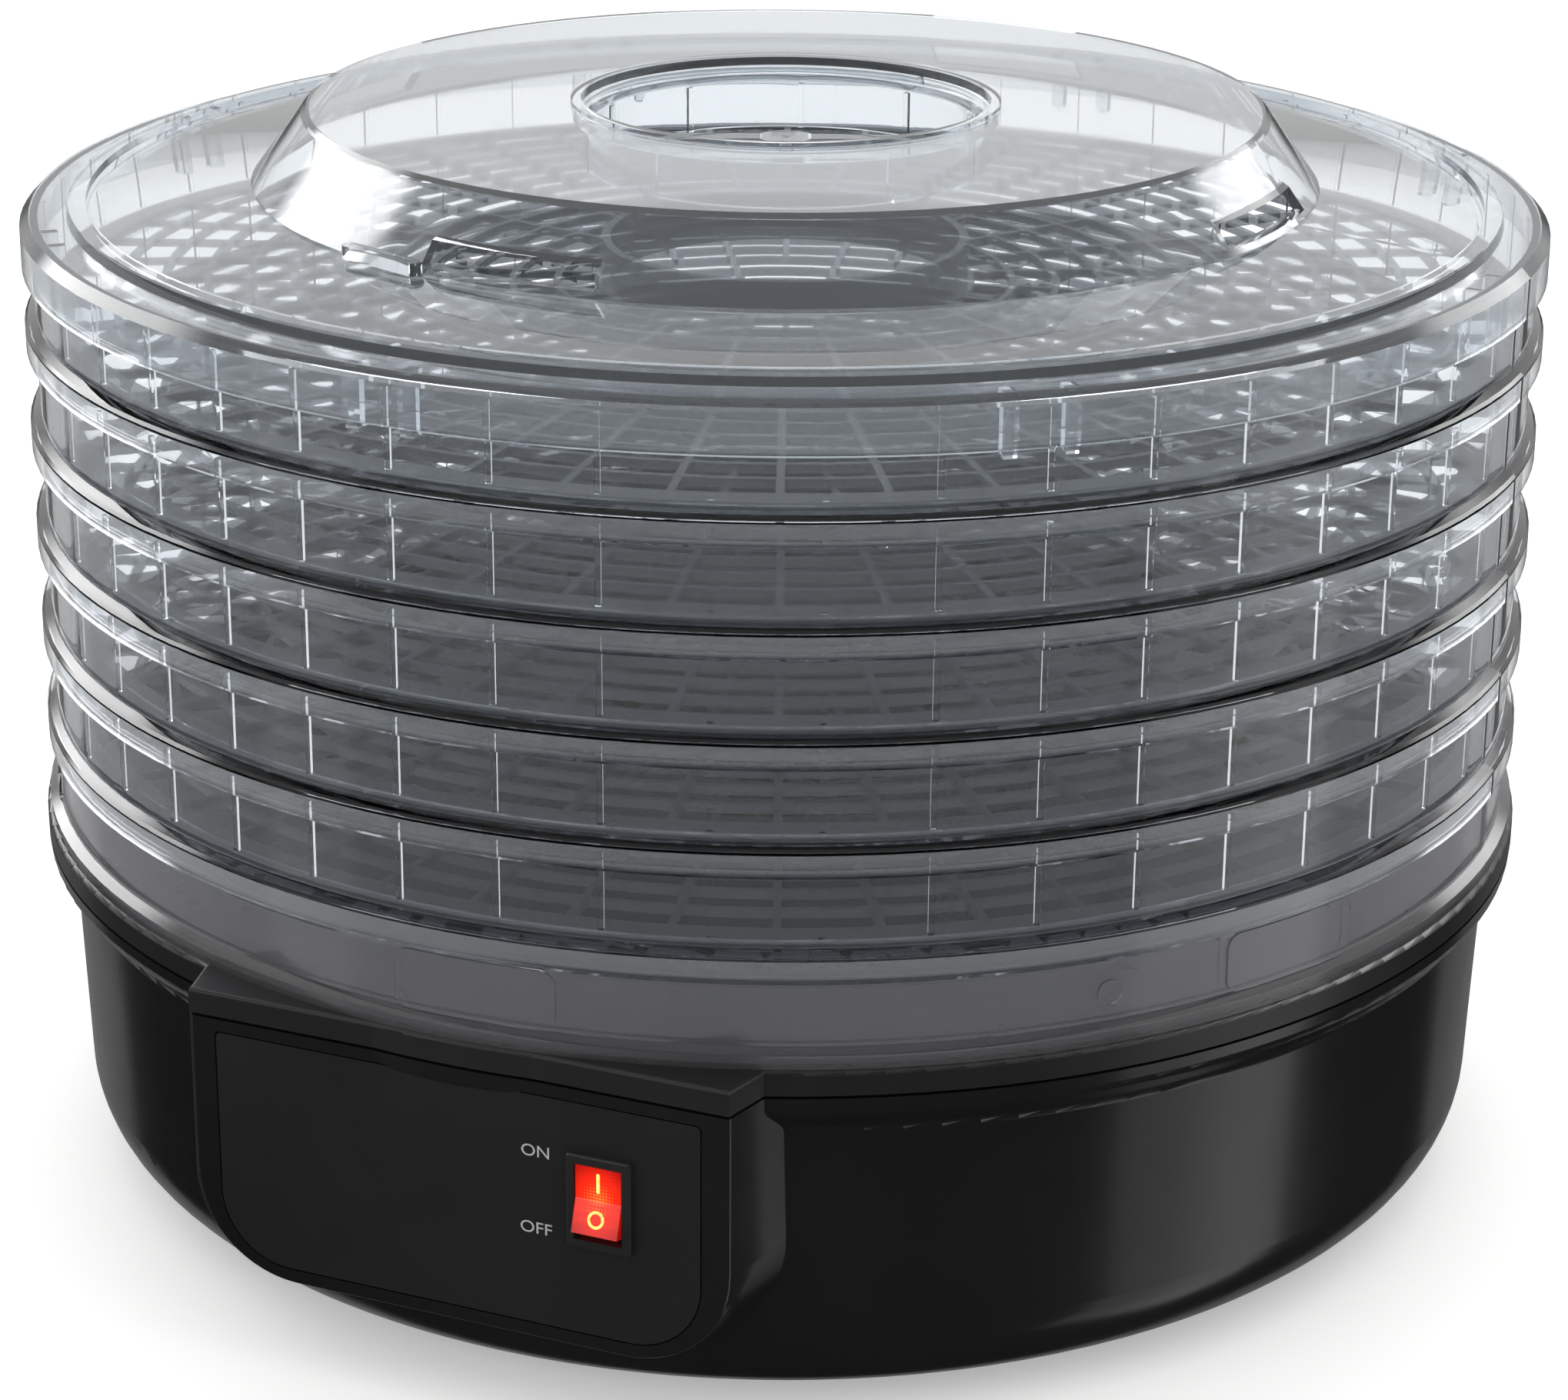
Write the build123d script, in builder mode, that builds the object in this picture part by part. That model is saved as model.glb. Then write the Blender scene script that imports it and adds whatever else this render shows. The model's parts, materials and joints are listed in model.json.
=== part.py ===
from build123d import *
import math
import os

os.makedirs("parts", exist_ok=True)

# Round stacking food dehydrator.  All sizes are millimetres.
# +Z is up, the control panel faces -Y, and the origin is where the axis of the
# drum meets the table that the feet stand on.

# ------------------------------------------------------------ trays and stack
# The tray wall sets the diameter of the whole machine.  Everything that seats
# on it, slips over it or lines up with it is given as a step from this radius.
tray_wall_r = 161.0
tray_count = 5
tray_pitch = 21.6
tray_wall_t = 1.6
tray_step_t = 1.6
tray_skirt_t = 1.7
tray_skirt_drop = 4.2
tray_ledge_w = 6.5
stack_gap = 0.5
grid_gap = 0.4
grid_thickness = 1.8
grid_ring_w = 1.5
grid_rib_w = 1.6
grid_outer_band = 56.5
grid_outer_ribs = 48
grid_inner_ribs = 24
ring_steps = 6
air_hole_r = 38.0
air_collar_t = 2.0
air_collar_h = 11.0
wall_rib_count = 48
wall_rib_w = 1.2
wall_rib_d = 0.7

riser_height = 21.6
riser_wall_step = 0.6
riser_wall_t = 2.0
riser_lip_step = 2.6
riser_lip_h = 3.4
riser_pad_count = 6
riser_pad_width = 34.0
riser_pad_height = 12.4
riser_pad_t = 0.5

# ------------------------------------------------------------------------ lid
lid_wall = 1.8
lid_skirt_drop = 8.6
lid_bead_step = 7.6
lid_step_h = 4.8
lid_foot_r = 114.5
lid_foot_rise = 4.1
plateau_r = 103.6
plateau_rise = 19.8
vent_r = 44.0
vent_lip_w = 2.2
vent_lip_h = 0.8
vent_collar_drop = 15.0
vent_step_drop = 5.0
vent_step_w = 2.4
vent_rib_count = 10
vent_rib_w = 1.2
vent_rib_d = 1.0
lid_slot_count = 4
lid_slot_angle = 20.0
lid_slot_height = 4.6
lid_rib_pairs = 8
lid_rib_w = 2.6
lid_rib_spread = 12.0
bar_turn = 22.7
bar_boss_r = 6.0

# ---------------------------------------------------------------- base housing
flange_step = 3.4
flare_step = 5.4
drum_draft = 2.2
foot_height = 3.4
foot_pad_r = 9.0
foot_inset = 25.0
foot_stem_r = 2.9
drum_corner_r = 20.0
drum_wall = 2.4
drum_floor_z = 3.0
flare_drop = 8.7
seam_z = 76.2
seam_gap = 0.6
cover_thickness = 5.2
deck_drop = 2.2
deck_thickness = 2.4
fit_gap = 0.3
gland_z = 30.0
gland_hole_r = 6.3
gland_proud = 8.0

# ---------------------------------------------------------------- bottom plate
plate_inset = 23.8
plate_thickness = 2.4
plate_lip = 9.0
plate_screw_r = 1.2
plate_screw_count = 6
screw_head_r = 3.0
screw_head_h = 1.4
boss_r = 3.8
boss_height = 12.0
post_inset = 17.0
post_r = 4.4

# --------------------------------------------------------- control box (front)
pod_setback = 0.9
pod_half_width = 58.4
pod_bottom_z = 20.5
pod_corner_r = 22.0
pod_side_angle = 13.0
pod_depth = 24.0
pod_wall = 3.6
panel_side_margin = 5.9
panel_bottom_margin = 3.5
panel_top_margin = 2.8
panel_corner_r = 15.0
panel_thickness = 1.8
panel_gap = 0.3

# -------------------------------------------------------------- rocker switch
switch_x = 31.6
switch_drop = 22.9
bezel_width = 13.8
bezel_height = 20.0
bezel_proud = 1.6
switch_body_width = 11.8
switch_body_height = 17.8
switch_body_depth = 19.0
rocker_width = 9.7
rocker_half_height = 6.9
rocker_tilt = 9.3
rocker_apex = 5.2
rocker_gap = 0.25
rocker_pin_r = 1.2
rocker_pin_gap = 0.05
terminal_width = 4.8
terminal_thickness = 0.8
terminal_length = 9.0

# ------------------------------------------------------- air path and heating
hub_r = 52.4
hub_wall = 3.6
hub_height = 4.2
shroud_inset = 4.4
shroud_wall = 0.8
shroud_drop = 43.4
motor_r = 21.0
motor_clearance = 7.2
motor_band_rise = 6.8
motor_nose_r = 5.5
bracket_thickness = 1.5
bracket_arm_root = 15.2
bracket_end_gap = 0.4
shaft_r = 2.5
bearing_gap = 0.05
fan_tip_gap = 4.7
fan_hub_r = 9.0
fan_rise = 7.7
fan_height = 14.0
fan_blades = 5
fan_pitch = 32.0
heater_rise = 5.0
heater_height = 9.6
mica_thickness = 1.0
coil_wire_r = 0.7
coil_gap = 0.2
coil_radii = (16.0, 25.0, 34.0)

# -------------------------------------------------------------- derived radii
tray_inner_r = tray_wall_r - tray_wall_t
tray_sleeve_r = tray_wall_r + stack_gap
tray_skirt_r = tray_sleeve_r + tray_skirt_t
tray_ledge_r = tray_wall_r - tray_ledge_w
grid_split_r = tray_ledge_r - grid_outer_band
riser_wall_r = tray_wall_r + riser_wall_step
riser_inner_r = riser_wall_r - riser_wall_t
riser_lip_r = tray_wall_r + riser_lip_step
spigot_r = riser_inner_r - 2 * fit_gap
lid_step_r = tray_wall_r - lid_bead_step
flange_r = tray_wall_r + flange_step
drum_top_r = flange_r - flare_step
drum_foot_r = drum_top_r - drum_draft
mouth_r = flange_r - drum_wall - 0.8
plate_r = drum_foot_r - plate_inset
foot_ring_r = plate_r - foot_inset
post_ring_r = plate_r - post_inset
pod_front = flange_r - pod_setback
shroud_r = hub_r - shroud_inset
shroud_screw_ring = hub_r + hub_wall / 2
shroud_flange_r = hub_r + hub_wall + 2.0
fan_r = shroud_r - shroud_wall - fan_tip_gap
bracket_arm_end = shroud_r - shroud_wall - bracket_end_gap

# ------------------------------------------------------------- derived levels
flare_z = seam_z - flare_drop
panel_half_width = pod_half_width - panel_side_margin
panel_bottom_z = pod_bottom_z + panel_bottom_margin
panel_top_z = seam_z - panel_top_margin
switch_z = seam_z - switch_drop
cover_bottom_z = seam_z + seam_gap
cover_top_z = cover_bottom_z + cover_thickness
deck_z = cover_top_z - deck_drop
deck_under_z = deck_z - deck_thickness
plate_top_z = foot_height + plate_thickness
hub_top_z = deck_z + hub_height
shroud_bottom_z = deck_under_z - shroud_drop
bracket_z = shroud_bottom_z + shroud_wall
motor_bottom_z = plate_top_z + motor_clearance
motor_height = bracket_z - motor_bottom_z
fan_bottom_z = bracket_z + bracket_thickness + fan_rise
fan_top_z = fan_bottom_z + fan_height
heater_z = fan_top_z + heater_rise
tray_zero_z = cover_top_z + riser_height
lid_zero_z = tray_zero_z + tray_count * tray_pitch
lid_top_z = lid_zero_z + lid_wall + plateau_rise


def polar(radius, degrees):
    """Point at a radius and a heading, where 0 is the front (-Y) and 90 is +X."""
    a = math.radians(degrees)
    return (radius * math.sin(a), -radius * math.cos(a))


def finish(block, name):
    """Label a finished piece and write its STEP file."""
    block.part.label = name
    export_step(block.part, f"parts/{name}.step")


# ================================================================= control box
# Wedge-shaped box in plan: flat at the front and wider towards the drum, with
# rolled lower corners.
pod_back_w = pod_half_width + pod_depth * math.tan(math.radians(pod_side_angle))
with BuildPart() as pod_solid:
    with BuildSketch(Plane.XY.offset(pod_bottom_z)):
        with BuildLine():
            Polyline(
                (-pod_half_width, -pod_front),
                (pod_half_width, -pod_front),
                (pod_back_w, pod_depth - pod_front),
                (-pod_back_w, pod_depth - pod_front),
                close=True,
            )
        make_face()
    extrude(amount=seam_z - pod_bottom_z)
    fillet(
        pod_solid.edges().group_by(Axis.Z)[0].filter_by(
            lambda e: abs(e.center().X) > pod_half_width
        ),
        pod_corner_r,
    )
    fillet(
        pod_solid.faces().sort_by(Axis.Y)[0].edges().filter_by(
            lambda e: e.center().Z < seam_z - 0.5
        ),
        1.0,
    )

with BuildPart() as pod_cavity:
    with BuildSketch(Plane.XY.offset(pod_bottom_z + drum_wall)):
        with BuildLine():
            Polyline(
                (-pod_half_width + drum_wall, -pod_front + pod_wall),
                (pod_half_width - drum_wall, -pod_front + pod_wall),
                (pod_back_w - drum_wall, pod_depth - pod_front + 1),
                (-pod_back_w + drum_wall, pod_depth - pod_front + 1),
                close=True,
            )
        make_face()
    extrude(amount=seam_z - pod_bottom_z)
    fillet(
        pod_cavity.edges().group_by(Axis.Z)[0].filter_by(
            lambda e: abs(e.center().X) > pod_half_width - drum_wall
        ),
        pod_corner_r - drum_wall,
    )

# =================================================================== base drum
# A bowl with a rolled bottom edge and a flared mouth, and a control box that
# stands out of its front wall.
with BuildPart() as base_drum:
    with BuildSketch(Plane.XZ) as drum_outline:
        with BuildLine():
            Polyline(
                (0, drum_floor_z),
                (drum_foot_r, drum_floor_z),
                (drum_top_r, flare_z),
                (flange_r - 0.3, seam_z - 3.4),
                (flange_r, seam_z),
                (0, seam_z),
                close=True,
            )
        make_face()
        fillet(
            drum_outline.vertices().sort_by_distance((drum_foot_r, drum_floor_z))[0],
            drum_corner_r,
        )
        fillet(drum_outline.vertices().sort_by_distance((drum_top_r, flare_z))[0], 3.0)
        fillet(
            drum_outline.vertices().sort_by_distance((flange_r - 0.3, seam_z - 3.4))[0],
            3.0,
        )
    revolve(axis=Axis.Z)
    add(pod_solid.part)
    # the hollow of the bowl
    with BuildSketch(Plane.XZ) as drum_hollow:
        with BuildLine():
            Polyline(
                (0, plate_top_z + drum_wall),
                (drum_foot_r - drum_wall, plate_top_z + drum_wall),
                (drum_top_r - drum_wall, flare_z),
                (mouth_r, seam_z - 3.4),
                (mouth_r, seam_z + 1),
                (0, seam_z + 1),
                close=True,
            )
        make_face()
        fillet(
            drum_hollow.vertices().sort_by_distance(
                (drum_foot_r - drum_wall, plate_top_z + drum_wall)
            )[0],
            drum_corner_r - drum_wall - 2,
        )
    revolve(axis=Axis.Z, mode=Mode.SUBTRACT)
    # the hollow of the control box
    add(pod_cavity.part, mode=Mode.SUBTRACT)
    # recess of the control panel and the switch window behind it
    with BuildSketch(Plane.XZ.offset(pod_front)) as panel_recess:
        with Locations((0, (panel_bottom_z + panel_top_z) / 2)):
            Rectangle(
                2 * (panel_half_width + panel_gap),
                panel_top_z - panel_bottom_z + 2 * panel_gap,
            )
        fillet(
            panel_recess.vertices().group_by(Axis.Y)[0], panel_corner_r + panel_gap
        )
        fillet(panel_recess.vertices().group_by(Axis.Y)[-1], 1.2)
    extrude(amount=-panel_thickness, mode=Mode.SUBTRACT)
    with BuildSketch(Plane.XZ.offset(pod_front)):
        with Locations((switch_x, switch_z)):
            Rectangle(
                switch_body_width + 2 * fit_gap, switch_body_height + 2 * fit_gap
            )
    extrude(amount=-pod_depth, mode=Mode.SUBTRACT)
    # seat of the bottom plate
    with BuildSketch(Plane.XY.offset(drum_floor_z - 1)):
        Circle(plate_r + fit_gap)
    extrude(amount=plate_top_z - drum_floor_z + 1, mode=Mode.SUBTRACT)
    with BuildSketch(Plane.XY.offset(drum_floor_z - 1)):
        Circle(plate_r - plate_lip)
    extrude(amount=12, mode=Mode.SUBTRACT)
    # screw bosses on the seat
    with BuildSketch(Plane.XY.offset(plate_top_z)):
        with PolarLocations(plate_r - plate_lip / 2, plate_screw_count, 30):
            Circle(boss_r)
    extrude(amount=boss_height)
    with BuildSketch(Plane.XY.offset(plate_top_z)):
        with PolarLocations(plate_r - plate_lip / 2, plate_screw_count, 30):
            Circle(plate_screw_r + 0.05)
    extrude(amount=boss_height - 2, mode=Mode.SUBTRACT)
    # flat pad and hole of the cord gland at the rear
    gland_pad_y = drum_top_r - 0.2
    with BuildSketch(Plane.XZ.offset(-gland_pad_y)):
        with Locations((0, gland_z)):
            Circle(11)
    extrude(amount=6)
    with BuildSketch(Plane.XZ.offset(-gland_pad_y - 1)):
        with Locations((0, gland_z)):
            Circle(gland_hole_r)
    extrude(amount=14, mode=Mode.SUBTRACT)
finish(base_drum, "base_drum")

# ================================================================ bottom plate
with BuildPart() as bottom_plate:
    with BuildSketch(Plane.XY.offset(foot_height)):
        Circle(plate_r)
        with PolarLocations(24, 18):
            SlotOverall(16, 3.2, mode=Mode.SUBTRACT)
        with PolarLocations(48, 36):
            SlotOverall(18, 3.2, mode=Mode.SUBTRACT)
        with PolarLocations(plate_r - plate_lip / 2, plate_screw_count, 30):
            Circle(plate_screw_r + 0.4, mode=Mode.SUBTRACT)
        with PolarLocations(post_ring_r, 4, 0):
            Circle(plate_screw_r + 0.4, mode=Mode.SUBTRACT)
        with PolarLocations(foot_ring_r, 4, 45):
            Circle(foot_stem_r + 0.1, mode=Mode.SUBTRACT)
    extrude(amount=plate_thickness)
    fillet(bottom_plate.edges().filter_by(GeomType.CIRCLE).group_by(SortBy.RADIUS)[-1], 0.5)
finish(bottom_plate, "bottom_plate")

with BuildPart() as foot_pads:
    with BuildSketch(Plane.XY):
        with PolarLocations(foot_ring_r, 4, 45):
            Circle(foot_pad_r)
    extrude(amount=foot_height)
    fillet(foot_pads.edges().group_by(Axis.Z)[0], 0.8)
    with BuildSketch(Plane.XY.offset(foot_height)):
        with PolarLocations(foot_ring_r, 4, 45):
            Circle(foot_stem_r)
    extrude(amount=plate_thickness)
finish(foot_pads, "foot_pads")

with BuildPart() as plate_screws:
    with BuildSketch(Plane.XY.offset(foot_height - screw_head_h)):
        with PolarLocations(plate_r - plate_lip / 2, plate_screw_count, 30):
            Circle(screw_head_r)
    extrude(amount=screw_head_h)
    with BuildSketch(Plane.XY.offset(foot_height)):
        with PolarLocations(plate_r - plate_lip / 2, plate_screw_count, 30):
            Circle(plate_screw_r)
    extrude(amount=plate_thickness + boss_height - 3)
    with BuildSketch(Plane.XY.offset(foot_height - screw_head_h)):
        with PolarLocations(plate_r - plate_lip / 2, plate_screw_count, 30):
            Rectangle(3.6, 0.8)
            Rectangle(0.8, 3.6)
    extrude(amount=0.8, mode=Mode.SUBTRACT)
finish(plate_screws, "plate_screws")

with BuildPart() as cover_screws:
    with BuildSketch(Plane.XY.offset(foot_height - screw_head_h)):
        with PolarLocations(post_ring_r, 4, 0):
            Circle(screw_head_r)
    extrude(amount=screw_head_h)
    with BuildSketch(Plane.XY.offset(foot_height)):
        with PolarLocations(post_ring_r, 4, 0):
            Circle(plate_screw_r)
    extrude(amount=plate_thickness + boss_height)
    with BuildSketch(Plane.XY.offset(foot_height - screw_head_h)):
        with PolarLocations(post_ring_r, 4, 0):
            Rectangle(3.6, 0.8)
            Rectangle(0.8, 3.6)
    extrude(amount=0.8, mode=Mode.SUBTRACT)
finish(cover_screws, "cover_screws")

# =================================================================== top cover
# The black ring deck that closes the bowl: a rim with a nose over the control
# box, a spigot that centres the stack, a sunken deck with four groups of air
# slots, a raised hub ring and four long posts that the cover screws pull down.
with BuildPart() as top_cover:
    with BuildSketch(Plane.XY.offset(cover_bottom_z)):
        Circle(flange_r)
        with BuildLine():
            Polyline(
                (-pod_half_width, -pod_front),
                (pod_half_width, -pod_front),
                (pod_back_w, pod_depth - pod_front),
                (-pod_back_w, pod_depth - pod_front),
                close=True,
            )
        make_face()
    extrude(amount=cover_thickness)
    fillet(top_cover.faces().sort_by(Axis.Z)[-1].edges(), 0.9)
    with BuildSketch(Plane.XZ):
        with BuildLine():
            Polyline(
                (0, deck_z),
                (spigot_r - 2.2, deck_z),
                (spigot_r - 2.2, cover_top_z + 1),
                (0, cover_top_z + 1),
                close=True,
            )
        make_face()
    revolve(axis=Axis.Z, mode=Mode.SUBTRACT)
    with BuildSketch(Plane.XY.offset(cover_bottom_z)):
        Circle(mouth_r - fit_gap - 2.4)
    extrude(amount=deck_under_z - cover_bottom_z, mode=Mode.SUBTRACT)
    # spigot ring above, locating skirt below
    with BuildSketch(Plane.XY.offset(deck_z)):
        Circle(spigot_r)
        Circle(spigot_r - 2.2, mode=Mode.SUBTRACT)
    extrude(amount=deck_drop + 4.4)
    with BuildSketch(Plane.XY.offset(cover_bottom_z)):
        Circle(mouth_r - fit_gap)
        Circle(mouth_r - fit_gap - 2.4, mode=Mode.SUBTRACT)
    extrude(amount=-2.8)
    # hub ring round the air outlet
    with BuildSketch(Plane.XY.offset(deck_under_z)):
        Circle(hub_r + hub_wall)
    extrude(amount=hub_top_z - deck_under_z)
    # posts for the cover screws
    with BuildSketch(Plane.XY.offset(plate_top_z)):
        with PolarLocations(post_ring_r, 4, 0):
            Circle(post_r)
    extrude(amount=deck_under_z - plate_top_z)
    with BuildSketch(Plane.XY.offset(plate_top_z)):
        with PolarLocations(post_ring_r, 4, 0):
            Circle(plate_screw_r + 0.05)
    extrude(amount=boss_height + 2, mode=Mode.SUBTRACT)
    # air outlet, screw pilots of the shroud, and the deck slots
    with BuildSketch(Plane.XY.offset(deck_under_z - 1)):
        Circle(hub_r)
    extrude(amount=20, mode=Mode.SUBTRACT)
    with BuildSketch(Plane.XY.offset(deck_under_z)):
        with PolarLocations(shroud_screw_ring, 4, 45):
            Circle(plate_screw_r + 0.05)
    extrude(amount=5.2, mode=Mode.SUBTRACT)
    with BuildSketch(Plane.XY.offset(deck_under_z - 1)):
        for quarter in range(4):
            for n in range(9):
                heading = 28 + 90 * quarter + (n - 4) * 4.0
                with Locations(Location((*polar(post_ring_r - 10, heading), 0), (0, 0, heading - 90))):
                    RectangleRounded(10, 4.4, 0.8)
    extrude(amount=6, mode=Mode.SUBTRACT)
finish(top_cover, "top_cover")

with BuildPart() as outlet_grille:
    with BuildSketch(Plane.XY.offset(hub_top_z)):
        Circle(hub_r + hub_wall - 0.4)
        Circle(hub_r - 5.4, mode=Mode.SUBTRACT)
        for ring_r in (39, 29, 19):
            Circle(ring_r)
            Circle(ring_r - 2.2, mode=Mode.SUBTRACT)
        Circle(9)
        with PolarLocations(28, 12):
            Rectangle(40, 2.2)
    extrude(amount=1.8)
    with BuildSketch(Plane.XY.offset(hub_top_z)):
        Circle(hub_r - fit_gap)
        Circle(hub_r - fit_gap - 2.0, mode=Mode.SUBTRACT)
    extrude(amount=-3.0)
finish(outlet_grille, "outlet_grille")

# ==================================================== heat shroud, motor, fan
with BuildPart() as heat_shroud:
    with BuildSketch(Plane.XZ):
        with BuildLine():
            Polyline(
                (shroud_r - 6, shroud_bottom_z),
                (shroud_r, shroud_bottom_z),
                (shroud_r, deck_under_z - shroud_wall),
                (shroud_flange_r, deck_under_z - shroud_wall),
                (shroud_flange_r, deck_under_z),
                (shroud_r - shroud_wall, deck_under_z),
                (shroud_r - shroud_wall, shroud_bottom_z + shroud_wall),
                (shroud_r - 6, shroud_bottom_z + shroud_wall),
                close=True,
            )
        make_face()
    revolve(axis=Axis.Z)
    with BuildSketch(Plane.XY.offset(heater_z - shroud_wall)):
        with PolarLocations(shroud_r - 2.4, 4, 0):
            Rectangle(3.8, 6)
    extrude(amount=shroud_wall)
    with BuildSketch(Plane.XY.offset(deck_under_z - 2)):
        with PolarLocations(shroud_screw_ring, 4, 45):
            Circle(plate_screw_r + 0.3)
    extrude(amount=4, mode=Mode.SUBTRACT)
    with BuildSketch(Plane.XY.offset(shroud_bottom_z - 1)):
        with PolarLocations(shroud_r - 3.6, 3, 90):
            Circle(1.25)
    extrude(amount=3, mode=Mode.SUBTRACT)
finish(heat_shroud, "heat_shroud")

with BuildPart() as shroud_screws:
    with BuildSketch(Plane.XY.offset(deck_under_z - shroud_wall)):
        with PolarLocations(shroud_screw_ring, 4, 45):
            Circle(2.8)
    extrude(amount=-1.4)
    with BuildSketch(Plane.XY.offset(deck_under_z - shroud_wall)):
        with PolarLocations(shroud_screw_ring, 4, 45):
            Circle(plate_screw_r)
    extrude(amount=5.4)
finish(shroud_screws, "shroud_screws")

with BuildPart() as motor_bracket:
    with BuildSketch(Plane.XY.offset(bracket_z)):
        Circle(18)
        with PolarLocations((bracket_arm_root + bracket_arm_end) / 2, 3, 90):
            Rectangle(bracket_arm_end - bracket_arm_root, 9)
        Circle(motor_nose_r + 0.2, mode=Mode.SUBTRACT)
        with PolarLocations(13, 2, 0):
            Circle(1.5, mode=Mode.SUBTRACT)
        with PolarLocations(shroud_r - 3.6, 3, 90):
            Circle(1.25, mode=Mode.SUBTRACT)
    extrude(amount=bracket_thickness)
finish(motor_bracket, "motor_bracket")

with BuildPart() as bracket_rivets:
    with BuildSketch(Plane.XY.offset(shroud_bottom_z)):
        with PolarLocations(shroud_r - 3.6, 3, 90):
            Circle(1.2)
    extrude(amount=shroud_wall + bracket_thickness)
    with BuildSketch(Plane.XY.offset(bracket_z + bracket_thickness)):
        with PolarLocations(shroud_r - 3.6, 3, 90):
            Circle(2.2)
    extrude(amount=1.0)
    with BuildSketch(Plane.XY.offset(shroud_bottom_z)):
        with PolarLocations(shroud_r - 3.6, 3, 90):
            Circle(2.2)
    extrude(amount=-1.0)
finish(bracket_rivets, "bracket_rivets")

with BuildPart() as motor_body:
    with BuildSketch(Plane.XY.offset(bracket_z)):
        Circle(motor_r)
    extrude(amount=-motor_height)
    fillet(motor_body.edges().group_by(Axis.Z)[0], 2.5)
    with BuildSketch(Plane.XY.offset(bracket_z - 0.5)):
        Circle(motor_nose_r)
    extrude(amount=bracket_thickness + 1.5)
    with BuildSketch(Plane.XY.offset(bracket_z - 8)):
        Circle(shaft_r + bearing_gap)
    extrude(amount=20, mode=Mode.SUBTRACT)
    with BuildSketch(Plane.XY.offset(bracket_z - 7)):
        with PolarLocations(13, 2, 0):
            Circle(1.25)
    extrude(amount=7, mode=Mode.SUBTRACT)
    with BuildSketch(Plane.XY.offset(motor_bottom_z + motor_band_rise)):
        Circle(motor_r + 1)
        Circle(motor_r - 0.8, mode=Mode.SUBTRACT)
    extrude(amount=1.2, mode=Mode.SUBTRACT)
finish(motor_body, "motor_body")

with BuildPart() as motor_screws:
    with BuildSketch(Plane.XY.offset(bracket_z + bracket_thickness)):
        with PolarLocations(13, 2, 0):
            Circle(2.6)
    extrude(amount=1.6)
    with BuildSketch(Plane.XY.offset(bracket_z - 6)):
        with PolarLocations(13, 2, 0):
            Circle(1.2)
    extrude(amount=6 + bracket_thickness)
finish(motor_screws, "motor_screws")

with BuildPart() as motor_shaft:
    with BuildSketch(Plane.XY.offset(bracket_z - 7.8)):
        Circle(shaft_r)
    extrude(amount=fan_top_z - bracket_z + 7.8 + 1.5)
    chamfer(motor_shaft.edges().group_by(Axis.Z)[-1], 0.4)
finish(motor_shaft, "motor_shaft")

with BuildPart() as fan_impeller:
    with BuildSketch(Plane.XY.offset(fan_bottom_z)):
        Circle(fan_hub_r)
    extrude(amount=fan_top_z - fan_bottom_z)
    fillet(fan_impeller.edges().group_by(Axis.Z)[-1], 1.5)
    blade_length = fan_r - fan_hub_r + 1.5
    with PolarLocations(fan_hub_r - 1.5 + blade_length / 2, fan_blades):
        with Locations((0, 0, (fan_bottom_z + fan_top_z) / 2)):
            Box(blade_length, 18, 1.6, rotation=(fan_pitch, 0, 0))
    with BuildSketch(Plane.XY.offset(fan_bottom_z - 1)):
        Circle(shaft_r)
    extrude(amount=fan_top_z - fan_bottom_z + 2, mode=Mode.SUBTRACT)
finish(fan_impeller, "fan_impeller")

# ====================================================================== heater
coil_z = heater_z + heater_height - 1.4
with BuildPart() as heater_frame:
    with BuildSketch(Plane.XY.offset(heater_z)):
        Rectangle(2 * (shroud_r - shroud_wall - 0.2), mica_thickness)
        Rectangle(mica_thickness, 2 * (shroud_r - shroud_wall - 0.2))
    extrude(amount=heater_height)
    for coil_r in coil_radii:
        with Locations((0, 0, coil_z)):
            Torus(coil_r, coil_wire_r + coil_gap, mode=Mode.SUBTRACT)
finish(heater_frame, "heater_frame")

with BuildPart() as heater_coil:
    for coil_r in coil_radii:
        with Locations((0, 0, coil_z)):
            Torus(coil_r, coil_wire_r)
    link = coil_radii[-1] - coil_radii[0]
    link_r = (coil_radii[-1] + coil_radii[0]) / 2
    with BuildSketch(Plane.XY.rotated((0, 0, 45)).offset(coil_z - coil_wire_r / 2)):
        with Locations((link_r, 0)):
            Rectangle(link, coil_wire_r)
    extrude(amount=coil_wire_r)
finish(heater_coil, "heater_coil")

# Bimetal thermostat and one-shot fuse, both under the deck beside the shroud.
thermostat_x, thermostat_y = polar(hub_r + 22, 130)
with BuildPart() as thermostat:
    with BuildSketch(Plane.XY.offset(deck_under_z)):
        with Locations((thermostat_x, thermostat_y)):
            Circle(8)
            Rectangle(26, 6)
    extrude(amount=-1.0)
    with BuildSketch(Plane.XY.offset(deck_under_z - 1.0)):
        with Locations((thermostat_x, thermostat_y)):
            Circle(7.5)
    extrude(amount=-9)
    with BuildSketch(Plane.XY.offset(deck_under_z - 10)):
        with Locations((thermostat_x - 4, thermostat_y), (thermostat_x + 4, thermostat_y)):
            Rectangle(0.8, 4.8)
    extrude(amount=-7)
finish(thermostat, "thermostat")

fuse_x, fuse_y = polar(hub_r + 22, 160)
with BuildPart() as thermal_fuse:
    with BuildSketch(Plane.XY.offset(deck_under_z)):
        with Locations((fuse_x, fuse_y)):
            Rectangle(9, 7)
    extrude(amount=-3.5)
    with BuildSketch(Plane.YZ.offset(fuse_x - 7)):
        with Locations((fuse_y, deck_under_z - 3.6)):
            Circle(2.0)
    extrude(amount=14)
finish(thermal_fuse, "thermal_fuse")

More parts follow.
